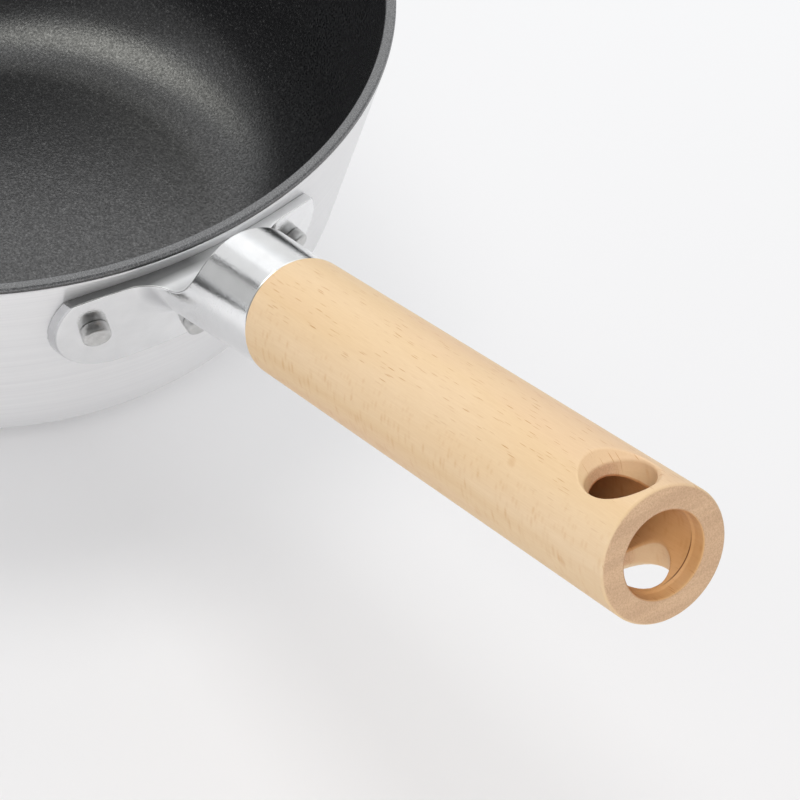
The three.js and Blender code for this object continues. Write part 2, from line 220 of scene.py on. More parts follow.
# The painted shade in the ledge's corner fades out over these depths from the wall, and from the left ear
# towards the right
CORNER_SHADE_DEPTHS = (2.5, 6.5)
CORNER_SHADE_ACROSS = (-4, 8)
# The painted shade on the plate's sides fades out over these depths from the wall
PLATE_SIDE_SHADE_DEPTHS = (3, 5)
BORE_SIDE = (BORE_MOUTH_RADIUS + 0.05, BORE_MOUTH_RADIUS + 0.4)
# Across this span the bore's painted light and shade goes from dark to light
BORE_LIGHT_ACROSS = (-9, 11)
BORE_LINE_WIDTH = (0.07, 0.2)
BORE_LINE_ACROSS = (9.5, 12.5)
# Across this span the paper's painted light falloff goes from dark to pale
PAPER_FALLOFF_ACROSS = (-350, 330)
OWN_LIGHT_ACROSS = (-20, 110)

# Camera, fitted to the photograph
CAMERA_PLACE = (764.95, -412.83, 809.14)
CAMERA_YAW = math.radians(144.8988)
CAMERA_PITCH = math.radians(-45.0595)
CAMERA_ROLL = math.radians(0.769)
CAMERA_LENS = 216.31
CAMERA_SENSOR = 36.0
CAMERA_NEAR = 10

# Surroundings, in metres: their brightness as light and as seen, and the floor's share of its own light
WORLD_COLOUR = (0.97, 0.985, 1.0)
WORLD_LIGHT = 0.54
WORLD_SEEN = 1.0
FLOOR_HALF_WIDTH = 6.0
FLOOR_OWN_LIGHT = (0.14, 0.92)
PAPER_DIRECTION = (-0.82, 0.57, 0)

# Lamps: azimuth, elevation, distance, size, power in watts, colour
LAMPS = {
    "overhead": (175, 76, 1.37, (0.7, 0.64), 5.2, (1.0, 0.99, 0.97)),
    "window": (135, 35, 1.8, (1.7, 1.1), 5.0, (0.97, 0.985, 1.0)),
    "fill": (-40, 42, 1.9, (1.0, 0.8), 10.3, (1.0, 0.985, 0.97)),
}

# Level panels in mirrors: corners, brightness
PANEL_HEIGHT = 1.3
PANEL_COLOUR = (1.0, 1.0, 0.93)
PANELS = {
    "overhead_panel": (((-0.75, -0.74), (-0.18, -0.62), (0.12, 0.14), (-0.75, -0.2)), 3.2),
    "panel_end": (((-1.4, -0.95), (-0.75, -0.74), (-0.75, -0.2), (-1.4, -0.42)), 1.9),
}

# Cards in mirrors: azimuths, elevations, distance, brightness
CARDS = {
    "camera_side": ((-70, 40), (0, 76), 1.7, 0.1),
    "horizon": ((132, 155), (-1, 16.5), 1.7, 0.78),
    "streak": ((156, 171), (-1, 27), 1.7, 1.1),
    "left_fade": ((179, 198), (-1, 30), 1.65, 0.74),
    "panel_edge": ((198, 205), (-1, 25), 1.6, 0.06),
    "left_side": ((205, 245), (-1, 42), 1.65, 0.52),
    "front_left": ((245, 300), (-1, 64), 1.6, 0.3),
    "back_sky": ((105, 180), (28, 62), 1.7, 1.25),
    "sky_gap": ((152, 180), (47, 68), 1.6, 0.5),
    "right_side": ((40, 85), (-1, 45), 1.7, 0.35),
}

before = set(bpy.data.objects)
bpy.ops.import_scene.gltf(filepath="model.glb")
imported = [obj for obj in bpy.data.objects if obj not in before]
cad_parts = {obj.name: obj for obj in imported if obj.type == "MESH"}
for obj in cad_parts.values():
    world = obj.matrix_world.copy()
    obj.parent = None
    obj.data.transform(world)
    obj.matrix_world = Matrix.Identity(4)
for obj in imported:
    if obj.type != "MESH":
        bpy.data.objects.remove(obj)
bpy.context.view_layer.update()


# Meshes

def new_piece(name, points, faces, normals=None):
    """A smooth-shaded mesh object from points in millimetres in the pan's frame, riding on the one body."""
    mesh = bpy.data.meshes.new(name)
    mesh.from_pydata((points * MM).tolist(), [], faces)
    mesh.polygons.foreach_set("use_smooth", [True] * len(mesh.polygons))
    mesh.validate()
    if normals is not None:
        mesh.normals_split_custom_set_from_vertices(normals.tolist())
    piece = bpy.data.objects.new(name, mesh)
    bpy.context.scene.collection.objects.link(piece)
    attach(piece, "root")
    return piece


def arc(centre_r, centre_z, radius, start, end, steps):
    """Points [r, z] along an arc, with angles in degrees."""
    angles = np.radians(np.linspace(start, end, steps + 1))
    return [[centre_r + radius * math.cos(a), centre_z + radius * math.sin(a)] for a in angles]


def refined(points, longest):
    """The same line with no step longer than this."""
    line = [points[0]]
    for here, there in zip(points, points[1:]):
        count = max(1, math.ceil(math.dist(here, there) / longest))
        for i in range(1, count + 1):
            line.append([a + (b - a) * i / count for a, b in zip(here, there)])
    return line


def turned(points, segments):
    """Points and faces of a closed profile [r, z] turned about Z, with both its ends on the axis."""
    rings = np.array(points[1:-1], float)
    angles = np.arange(segments) * 2 * math.pi / segments
    round_points = np.stack([
        np.outer(rings[:, 0], np.cos(angles)),
        np.outer(rings[:, 0], np.sin(angles)),
        np.repeat(rings[:, 1:], segments, axis=1),
    ], axis=-1).reshape(-1, 3)
    bottom = len(round_points)
    top = bottom + 1
    ends = [[0, 0, points[0][1]], [0, 0, points[-1][1]]]
    last = (len(rings) - 1) * segments
    faces = []
    for j in range(segments):
        k = (j + 1) % segments
        faces.append([bottom, k, j])
        faces.append([top, last + j, last + k])
        for ring in range(len(rings) - 1):
            low, high = ring * segments, (ring + 1) * segments
            faces.append([low + j, low + k, high + k, high + j])
    return np.vstack([round_points, ends]), faces


# Solids given by a field that is negative inside

def cut(a, b, edge):
    """Inside both, with a rounded edge."""
    rounding = np.hypot(np.maximum(a + edge, 0), np.maximum(b + edge, 0))
    return np.minimum(-edge, np.maximum(a, b)) + rounding


def joined(a, b, fillet):
    """Inside either, with a fillet between them."""
    hollow = np.hypot(np.maximum(fillet - a, 0), np.maximum(fillet - b, 0))
    return np.maximum(fillet, np.minimum(a, b)) - hollow


def slope(field, points):
    """How the field grows along each axis at these points."""
    columns = []
    for axis in range(3):
        shift = np.zeros(3)
        shift[axis] = SLOPE_STEP
        columns.append((field(*(points + shift).T) - field(*(points - shift).T)) / (2 * SLOPE_STEP))
    return np.stack(columns, axis=1)


def surface(field, axes):
    """Points, quads and normals on the field's zero surface, over a grid with these places on each axis."""
    values = field(*np.meshgrid(*axes, indexing="ij"))
    cells = np.array(values.shape) - 1
    owners, crossings, quads = [], [], []
    for axis in range(3):
        side, other = (axis + 1) % 3, (axis + 2) % 3
        low = np.moveaxis(values, axis, 0)[:-1]
        high = np.moveaxis(values, axis, 0)[1:]
        found = np.moveaxis((low < 0) != (high < 0), 0, axis)
        index = np.argwhere(found)
        ahead = index.copy()
        ahead[:, axis] += 1
        at_low = values[tuple(index.T)]
        at_high = values[tuple(ahead.T)]
        share = at_low / (at_low - at_high)
        point = np.stack([axes[k][index[:, k]] for k in range(3)], axis=1)
        far = axes[axis][ahead[:, axis]]
        point[:, axis] += share * (far - point[:, axis])
        around = []
        for back_side, back_other in ((1, 1), (0, 1), (0, 0), (1, 0)):
            cell = index.copy()
            cell[:, side] -= back_side
            cell[:, other] -= back_other
            number = np.ravel_multi_index(cell.T, cells)
            around.append(number)
            owners.append(number)
            crossings.append(point)
        quad = np.stack(around, axis=1)
        quads.append(np.where((at_low < 0)[:, None], quad, quad[:, ::-1]))
    names, place = np.unique(np.concatenate(owners), return_inverse=True)
    points = np.zeros((len(names), 3))
    np.add.at(points, place, np.concatenate(crossings))
    points /= np.bincount(place)[:, None]
    for _ in range(SETTLE_ROUNDS):
        normal = slope(field, points)
        size = np.maximum((normal ** 2).sum(axis=1), NEARLY_ZERO)
        step = np.clip(field(*points.T) / size, -SETTLE_STEP, SETTLE_STEP)
        points -= step[:, None] * normal
    normal = slope(field, points)
    normal /= np.maximum(np.linalg.norm(normal, axis=1), LEAST_LENGTH)[:, None]
    return points, np.searchsorted(names, np.concatenate(quads)).tolist(), normal


def places(low, high, cell):
    """Even places from one end to the other, about a cell apart."""
    return np.linspace(low, high, max(2, round((high - low) / cell)) + 1)


# Pan shell and lining

SKIRT_Z = PAN_HEIGHT - LINING_SKIRT
LINING_WALL = WALL_THICKNESS + LINING_GAP + LINING_THICKNESS


def wall_radius(z, offset):
    """The wall's radius at a height, or of a face set off from it along its normal."""
    return RIM_RADIUS - (SKIRT_Z - z) * math.tan(WALL_LEAN) + offset / math.cos(WALL_LEAN)


def bowl(offset, floor_z, corner):
    """Points from the axis along a flat floor and round the corner onto the wall line."""
    centre_z = floor_z + corner
    centre_r = wall_radius(centre_z, offset) - corner / math.cos(WALL_LEAN)
    return [[0, floor_z], *arc(centre_r, centre_z, corner, -90, -math.degrees(WALL_LEAN), CORNER_STEPS)]


def shell_profile():
    step_r = RIM_RADIUS - LINING_THICKNESS - LINING_GAP
    top_z = PAN_HEIGHT - LINING_THICKNESS - LINING_GAP
    under = RIM_EDGE_RADIUS - LINING_THICKNESS
    groove_z = SKIRT_Z - LINING_GAP - SKIRT_GROOVE
    inside = bowl(-WALL_THICKNESS, FLOOR_THICKNESS, INNER_CORNER_RADIUS + LINING_THICKNESS + LINING_GAP)
    return [
        *bowl(0, 0, OUTER_CORNER_RADIUS),
        [wall_radius(groove_z - SKIRT_GROOVE, 0), groove_z - SKIRT_GROOVE],
        [wall_radius(groove_z, -SKIRT_GROOVE_DEPTH), groove_z],
        [step_r + SKIRT_STEP_LIP, SKIRT_Z - LINING_GAP],
        [step_r, top_z - under],
        [step_r - under, top_z],
        [wall_radius(top_z, -WALL_THICKNESS), top_z],
        *inside[::-1],
    ]


def lining_profile():
    under_z = PAN_HEIGHT - LINING_THICKNESS
    step_r = RIM_RADIUS - LINING_THICKNESS
    under = RIM_EDGE_RADIUS - LINING_THICKNESS
    floor_z = FLOOR_THICKNESS + LINING_GAP
    edge_z = PAN_HEIGHT - RIM_EDGE_RADIUS
    inner_centre = wall_radius(edge_z, -LINING_WALL) + RIM_EDGE_RADIUS / math.cos(WALL_LEAN)
    foot = LINING_THICKNESS / 2
    beneath = bowl(-WALL_THICKNESS - LINING_GAP, floor_z, INNER_CORNER_RADIUS + LINING_THICKNESS)
    inside = bowl(-LINING_WALL, floor_z + LINING_THICKNESS, INNER_CORNER_RADIUS)
    return [
        *beneath,
        [wall_radius(under_z, -WALL_THICKNESS - LINING_GAP), under_z],
        [step_r - under, under_z],
        [step_r, under_z - under],
        [step_r, SKIRT_Z],
        *arc(RIM_RADIUS - foot, SKIRT_Z + foot, foot, -90, 0, SKIRT_FOOT_STEPS),
        *arc(RIM_RADIUS - RIM_EDGE_RADIUS, edge_z, RIM_EDGE_RADIUS, 0, 90, RIM_EDGE_STEPS),
        *arc(inner_centre, edge_z, RIM_EDGE_RADIUS, 90, 180 - math.degrees(WALL_LEAN), RIM_EDGE_STEPS),
        *inside[::-1],
    ]


pan_shell = new_piece("pan_shell", *turned(refined(shell_profile(), PROFILE_STEP), PAN_SEGMENTS))
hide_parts("pan_body")

pan_lining = new_piece("pan_lining", *turned(refined(lining_profile(), PROFILE_STEP), PAN_SEGMENTS))
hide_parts("nonstick_coating")


# Rivets

PLATE_FRONT = SEAT_GAP + PLATE_THICKNESS
TAIL_SEAT = PLATE_FRONT + SEEN_GAP


def rivet_axes(angle, drop):
    """The point on the wall, and the side, upward and outward directions there."""
    z = PAN_HEIGHT - drop
    outward = np.array([math.cos(angle), math.sin(angle), 0])
    normal = outward * math.cos(WALL_LEAN) - np.array([0, 0, math.sin(WALL_LEAN)])
    side = np.array([-math.sin(angle), math.cos(angle), 0])
    point = outward * wall_radius(z, 0) + np.array([0, 0, z])
    return point, side, np.cross(normal, side), normal


def rivet_profile():
    """Points [r, z] along the rivet, from the domed head inside the pan to the dished end outside."""
    head = -LINING_WALL - RIVET_HEAD_GAP
    top = PLATE_FRONT + SEAT_GAP + RIVET_TAIL_HEIGHT
    dome = [[RIVET_HEAD_RADIUS * math.sin(a), head - RIVET_HEAD_HEIGHT * math.cos(a) ** RIVET_HEAD_POWER]
            for a in np.linspace(0, math.pi / 2, RIVET_HEAD_POINTS)]
    dish = [[RIVET_TAIL_RADIUS * share, top - depth] for share, depth in RIVET_TAIL_DISH]
    edge_r, edge_z = RIVET_TAIL_RADIUS - RIVET_TAIL_EDGE, top - RIVET_TAIL_EDGE
    return [
        *dome,
        [RIVET_SHANK_RADIUS, head],
        [RIVET_SHANK_RADIUS, TAIL_SEAT],
        [RIVET_TAIL_RADIUS - RIVET_TAIL_FOOT, TAIL_SEAT],
        [RIVET_TAIL_RADIUS, TAIL_SEAT + RIVET_TAIL_FOOT],
        *arc(edge_r, edge_z, RIVET_TAIL_EDGE, 0, 90, RIVET_TAIL_EDGE_STEPS),
        *dish,
    ]


RIVETS = {
    "rivet_left": rivet_axes(-SIDE_RIVET_ANGLE, SIDE_RIVET_DROP),
    "rivet_right": rivet_axes(SIDE_RIVET_ANGLE, SIDE_RIVET_DROP),
    "rivet_lower": rivet_axes(0, LOWER_RIVET_DROP),
}
rivet_pieces = []
for node, (origin, *axes) in RIVETS.items():
    points, faces = turned(rivet_profile(), RIVET_SEGMENTS)
    piece = new_piece(node + "_turned", origin + points @ np.array(axes), faces)
    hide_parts(node)
    rivet_pieces.append(piece)


# Handle frame: x along the handle, y across, z square to the handle and up

AXIS = np.array([math.cos(HANDLE_RISE), 0, math.sin(HANDLE_RISE)])
ACROSS = np.array([0, 1, 0])
ABOVE = np.cross(AXIS, ACROSS)
HANDLE_ORIGIN = np.array([RIM_RADIUS, 0, PAN_HEIGHT - AXIS_DROP])
HANDLE_AXES = np.array([AXIS, ACROSS, ABOVE])


def to_pan(x, y, z):
    """From the handle frame to the pan's frame."""
    return [HANDLE_ORIGIN[k] + x * AXIS[k] + y * ACROSS[k] + z * ABOVE[k] for k in range(3)]


# Bracket

def bracket_field(x, y, z):
    """The bracket in the handle frame: a plate on the wall, a flared neck, and what is cut out of them."""
    px, py, pz = to_pan(x, y, z)
    from_wall = (np.hypot(px, py) - wall_radius(pz, 0)) * math.cos(WALL_LEAN)
    across = np.abs(y)
    spread = np.hypot(y, z)

    ear_y = PLATE_HALF_WIDTH - EAR_RADIUS
    ear_z = PLATE_BOTTOM + EAR_RADIUS
    corner = ear_y + math.sqrt(EAR_RADIUS ** 2 - (PLATE_TOP - EAR_CORNER_DROP - ear_z) ** 2)
    crown = np.minimum((across - corner + EAR_CROWN_LENGTH) / EAR_CROWN_LENGTH, 1)
    outline = np.hypot(np.maximum(across - ear_y, 0), z - ear_z) - EAR_RADIUS
    outline = cut(outline, z - PLATE_TOP + EAR_CORNER_DROP * crown * np.abs(crown), BRACKET_EDGE)
    plate = cut(outline, from_wall - PLATE_FRONT, BRACKET_EDGE)

    taper = np.clip((x - NECK_TAPER_START) / (NECK_LENGTH - NECK_TAPER_START), 0, 1)
    tube = spread - NECK_ROOT_RADIUS + (NECK_ROOT_RADIUS - NECK_TIP_RADIUS) * taper
    tube = cut(tube, x - NECK_LENGTH, BRACKET_EDGE)
    sideways = across / np.maximum(spread, NEARLY_ZERO)
    flare = NECK_FLARE_BELOW + (NECK_FLARE - NECK_FLARE_BELOW) * sideways ** NECK_FLARE_POWER
    solid = joined(plate, tube, flare)

    back = x - NECK_CUT + NECK_CUT_RADIUS
    over = PLATE_TOP - z + NECK_CUT_RADIUS
    space = np.minimum(np.maximum(back, over), 0) + np.hypot(np.maximum(back, 0), np.maximum(over, 0))
    solid = cut(solid, NECK_CUT_RADIUS - space, BRACKET_EDGE)
    solid = cut(solid, SEEN_GAP - from_wall, BRACKET_BACK_EDGE)

    socket = np.maximum(spread - SOCKET_RADIUS, NECK_LENGTH - SOCKET_DEPTH - x)
    bolt_hole = np.maximum(spread - BOLT_HOLE_RADIUS, NECK_CUT - GRID_MARGIN - x)
    solid = np.maximum(solid, -np.minimum(socket, bolt_hole))
    for point, _, _, normal in RIVETS.values():
        along = sum((p - q) * n for p, q, n in zip((px, py, pz), point, normal))
        square = [p - q - along * n for p, q, n in zip((px, py, pz), point, normal)]
        hole = np.sqrt(sum(s ** 2 for s in square)) - RIVET_HOLE_RADIUS
        solid = np.maximum(solid, -hole)
    return solid


plate_zone = PLATE_FRONT + GRID_MARGIN
ledge_low, ledge_high = PLATE_TOP - FINE_BELOW_LEDGE, PLATE_TOP + FINE_ABOVE_LEDGE
bracket_axes = [
    np.concatenate([
        places(PLATE_BOTTOM, plate_zone, BRACKET_EDGE_CELL)[:-1],
        places(plate_zone, NECK_LENGTH + GRID_MARGIN, BRACKET_CELL),
    ]),
    places(-PLATE_HALF_WIDTH - GRID_MARGIN, PLATE_HALF_WIDTH + GRID_MARGIN, BRACKET_CELL),
    np.concatenate([
        places(PLATE_BOTTOM - GRID_MARGIN, ledge_low, BRACKET_CELL)[:-1],
        places(ledge_low, ledge_high, BRACKET_EDGE_CELL)[:-1],
        places(ledge_high, NECK_ROOT_RADIUS + GRID_MARGIN, BRACKET_CELL),
    ]),
]
points, faces, normals = surface(bracket_field, bracket_axes)
bracket = new_piece("bracket_cast", HANDLE_ORIGIN + points @ HANDLE_AXES, faces, normals @ HANDLE_AXES)
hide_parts("handle_bracket")


# Wooden handle

HANDLE_START = NECK_LENGTH + SEAT_GAP
HANDLE_END = HANDLE_START + HANDLE_LENGTH
BORE_STEP = HANDLE_END - BORE_MOUTH_DEPTH


def handle_field(x, y, z):
    """The handle in its own frame: a tapered grip with a tenon, an end bore and a sunk cross hole."""
    spread = np.hypot(y, z)
    share = np.clip((x - HANDLE_START) / HANDLE_LENGTH, 0, 1)
    side = spread - HANDLE_START_RADIUS - (HANDLE_END_RADIUS - HANDLE_START_RADIUS) * share
    solid = cut(cut(side, x - HANDLE_END, HANDLE_EDGE), HANDLE_START - x, BORE_EDGE)
    tenon = np.maximum(spread - SOCKET_RADIUS + SEAT_GAP, HANDLE_START - TENON_LENGTH - x)
    solid = np.minimum(solid, np.maximum(tenon, x - HANDLE_START - GRID_MARGIN))

    step = np.clip((x - BORE_STEP) / BORE_STEP_LENGTH, 0, 1)
    bore_radius = END_BORE_RADIUS + (BORE_MOUTH_RADIUS - END_BORE_RADIUS) * step
    bore = np.maximum(spread - bore_radius, HANDLE_END - END_BORE_DEPTH - x)
    solid = cut(solid, -bore, BORE_EDGE)
    solid = np.maximum(solid, BOLT_HOLE_RADIUS - spread)

    from_hole = np.hypot(x - HANDLE_END + HANG_HOLE_FROM_END, y) - HANG_HOLE_RADIUS
    sunk = np.abs(z) - HANDLE_END_RADIUS + HANG_HOLE_SINK
    sink = (from_hole - sunk) * math.sqrt(0.5)
    return cut(solid, -joined(from_hole, sink, HANG_HOLE_EDGE), HANG_HOLE_EDGE)


tenon_zone = HANDLE_START + GRID_MARGIN
hole_zone = HANDLE_END - HANG_HOLE_FROM_END - HANG_HOLE_RADIUS - HANG_HOLE_SINK - 2 * GRID_MARGIN
handle_across = places(-HANDLE_END_RADIUS - GRID_MARGIN, HANDLE_END_RADIUS + GRID_MARGIN, HANDLE_CELL)
handle_axes = [
    np.concatenate([
        places(HANDLE_START - TENON_LENGTH - GRID_MARGIN, tenon_zone, 2 * HANDLE_CELL)[:-1],
        places(tenon_zone, hole_zone, HANDLE_LONG_CELL)[:-1],
        places(hole_zone, HANDLE_END + GRID_MARGIN, HANDLE_CELL),
    ]),
    handle_across,
    handle_across,
]
points, faces, normals = surface(handle_field, handle_axes)
handle = new_piece("handle_turned", HANDLE_ORIGIN + points @ HANDLE_AXES, faces, normals @ HANDLE_AXES)
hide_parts("wood_handle")


# Materials

class Look:
    """A material whose plain values sit on its shader's sockets, and helpers that add nodes to it."""

    def __init__(self, name, along_handle=False, **values):
        self.along_handle = along_handle
        self.material = bpy.data.materials.new(name)
        self.material.use_nodes = True
        self.nodes = self.material.node_tree.nodes
        self.links = self.material.node_tree.links
        self.shader = self.nodes["Principled BSDF"]
        for socket, value in values.items():
            self.shader.inputs[socket.replace("_", " ").title().replace("Ior", "IOR")].default_value = value

    def node(self, kind, inputs, **settings):
        made = self.nodes.new(kind)
        for key, value in settings.items():
            setattr(made, key, value)
        for key, value in inputs.items():
            self.feed(made.inputs[key], value)
        return made

    def feed(self, socket, value):
        if isinstance(value, bpy.types.NodeSocket):
            self.links.new(value, socket)
        else:
            socket.default_value = value

    def put(self, socket, value):
        self.feed(self.shader.inputs[socket], value)

    def framed(self, output, origin):
        """A texture coordinate in the pan's frame, or in the handle's frame with its origin there."""
        vector = self.node("ShaderNodeTexCoord", {}).outputs[output]
        if not self.along_handle:
            return vector
        inputs = {"Vector": vector, "Location": origin, "Rotation": (0, -HANDLE_RISE, 0)}
        return self.node("ShaderNodeMapping", inputs, vector_type="TEXTURE").outputs["Vector"]

    def place(self):
        """Where the point is, in metres."""
        return self.framed("Object", HANDLE_ORIGIN * MM)

    def facing(self):
        """The surface's direction."""
        return self.framed("Normal", (0, 0, 0))

    def parted(self, vector):
        """The vector's X, Y and Z."""
        return self.node("ShaderNodeSeparateXYZ", {"Vector": vector}).outputs

    def stretched(self, scale):
        return self.node("ShaderNodeMapping", {"Vector": self.place(), "Scale": scale}).outputs["Vector"]

    def noise(self, scale, detail=2.0, roughness=0.5):
        """Noise with so many repeats per metre, the same all ways or given for each axis."""
        stretch, even = (scale, 1.0) if isinstance(scale, tuple) else ((1, 1, 1), scale)
        made = self.node("ShaderNodeTexNoise", {
            "Vector": self.stretched(stretch), "Scale": even, "Detail": detail, "Roughness": roughness})
        return made.outputs["Fac"]

    def cells(self, stretch):
        """Random cells: the distance to the nearest cell's middle, and two chances for each cell."""
        made = self.node("ShaderNodeTexVoronoi", {"Vector": self.stretched(stretch), "Scale": 1.0})
        chance = self.node("ShaderNodeSeparateColor", {"Color": made.outputs["Color"]})
        return made.outputs["Distance"], chance.outputs["Red"], chance.outputs["Green"]

    def ramp(self, factor, stops):
        """stops are (place, colour) pairs."""
        made = self.node("ShaderNodeValToRGB", {"Fac": factor})
        elements = made.color_ramp.elements
        while len(elements) < len(stops):
            elements.new(0.5)
        for element, (place, colour) in zip(elements, stops):
            element.position = place
            element.color = (*colour, 1)
        return made.outputs["Color"]

    def span(self, factor, low, high, to_low, to_high):
        made = self.node("ShaderNodeMapRange", {
            "Value": factor, "From Min": low, "From Max": high, "To Min": to_low, "To Max": to_high})
        return made.outputs["Result"]

    def span_mm(self, distance, ends, to_low, to_high):
        """The same between two places in millimetres."""
        return self.span(distance, ends[0] * MM, ends[1] * MM, to_low, to_high)

    def mixed(self, factor, a, b, blend="MIX"):
        made = self.node("ShaderNodeMix", {}, data_type="RGBA", blend_type=blend)
        self.feed(made.inputs["Factor"], factor)
        self.feed(made.inputs["A"], a)
        self.feed(made.inputs["B"], b)
        return made.outputs["Result"]

    def tinted(self, factor, colour, tint):
        return self.mixed(factor, colour, (*tint, 1), "MULTIPLY")

    def math(self, operation, *values):
        return self.node("ShaderNodeMath", dict(enumerate(values)), operation=operation).outputs["Value"]

    def times(self, a, b):
        return self.math("MULTIPLY", a, b)

    def bump(self, height, depth, strength):
        """A bump of this depth in millimetres where the height goes from 0 to 1."""
        made = self.node("ShaderNodeBump", {"Height": height, "Distance": depth * MM, "Strength": strength})
        self.put("Normal", made.outputs["Normal"])


def dress(look, *pieces):
    for piece in pieces:
        piece.data.materials.clear()
        piece.data.materials.append(look.material)


def lining_look():
    """Dark and mottled inside, with a finer and lighter grain on the rim, and painted shade on the skirt
    below it.
    """
    look = Look("speckled_lining", ior=1.6)
    mottle = look.noise(LINING_MOTTLE, roughness=0.65)
    grain = look.noise(RIM_GRAIN, roughness=0.7)
    # Painted shade: below the rim line the skirt keeps the dark inside tones
    on_rim = look.span_mm(look.parted(look.place())["Z"], SKIRT_SHADE_LINE, 0.0, 1.0)
    body = look.ramp(mottle, LINING_TONES)
    rim = look.ramp(grain, RIM_TONES)
    look.put("Base Color", look.mixed(on_rim, body, rim))
    look.put("Specular IOR Level", look.span(mottle, *LINING_GLOSS_RANGE, *LINING_GLOSS))
    look.put("Roughness", look.span(mottle, *NOISE_RANGE, *LINING_ROUGHNESS))
    look.bump(mottle, LINING_BUMP, 0.5)
    return look


def shell_look():
    """Satin, with fine level lines from spinning."""
    look = Look("spun_aluminium", metallic=0.55, anisotropic=0.7, anisotropic_rotation=0.25)
    lines = look.noise(SPUN_LINES, detail=4.0, roughness=0.65)
    around = look.node("ShaderNodeTangent", {}, direction_type="RADIAL", axis="Z")
    look.put("Base Color", look.ramp(lines, SHELL_TONES))
    look.put("Roughness", look.span(lines, *NOISE_RANGE, *SHELL_ROUGHNESS))
    look.put("Tangent", around.outputs["Tangent"])
    look.bump(lines, SHELL_BUMP, 0.25)
    return look


def bracket_look():
    """Polished, with a satin ledge and scoop behind the neck, and painted shade in the ledge's corner and on
    the plate's sides.
    """
    look = Look("polished_casting", along_handle=True)
    clouds = look.noise(CASTING_CLOUDS, detail=4.0, roughness=0.6)
    grain = look.noise(CASTING_GRAIN, roughness=0.6)
    facing = look.parted(look.facing())
    place = look.parted(look.place())

    upward = look.span(facing["Z"], *LEDGE_UPWARD, 0.0, 1.0)
    ledge = look.times(upward, look.span_mm(place["Z"], LEDGE_HEIGHTS, 1.0, 0.0))
    scoop = look.span(facing["X"], *SCOOP_BACKWARD, 1.0, 0.0)
    satin = look.math("MAXIMUM", ledge, scoop)
    polish = look.span(satin, 0.0, 1.0, 1.0, 0.0)
    # Painted shade: the ledge is darkened near the wall, most towards the left ear
    corner = look.times(ledge, look.span_mm(place["X"], CORNER_SHADE_DEPTHS, CORNER_SHADE_STRENGTH, 0.0))
    corner = look.times(corner, look.span_mm(place["Y"], CORNER_SHADE_ACROSS, 1.0, 0.0))
    # Painted shade: the plate's side faces near the wall are darkened
    sideways = look.span(look.math("ABSOLUTE", facing["Y"]), *PLATE_SHADED_SIDEWAYS, 0.0, 1.0)
    side = look.times(sideways, look.span_mm(place["X"], PLATE_SIDE_SHADE_DEPTHS, 1.0, 0.0))

    metal = look.ramp(clouds, CASTING_TONES)
    metal = look.tinted(side, metal, CASTING_SIDE_SHADE_TINT)
    look.put("Base Color", look.tinted(corner, metal, CASTING_CORNER_SHADE_TINT))
    look.put("Metallic", look.span(satin, 0.0, 1.0, 1.0, SATIN_METALLIC))
    polished = look.times(polish, look.span(grain, *NOISE_RANGE, *POLISHED_ROUGHNESS))
    look.put("Roughness", look.math("ADD", polished, look.times(satin, SATIN_ROUGHNESS)))
    look.bump(look.times(grain, polish), CASTING_BUMP, 0.5)
    return look


def rivet_look():
    look = Look("rivet_metal", metallic=1.0)
    clouds = look.noise(RIVET_CLOUDS, detail=4.0, roughness=0.65)
    look.put("Base Color", look.ramp(clouds, RIVET_TONES))
    look.put("Roughness", look.span(clouds, *NOISE_RANGE, *RIVET_ROUGHNESS))
    look.bump(clouds, RIVET_BUMP, 0.3)
    return look


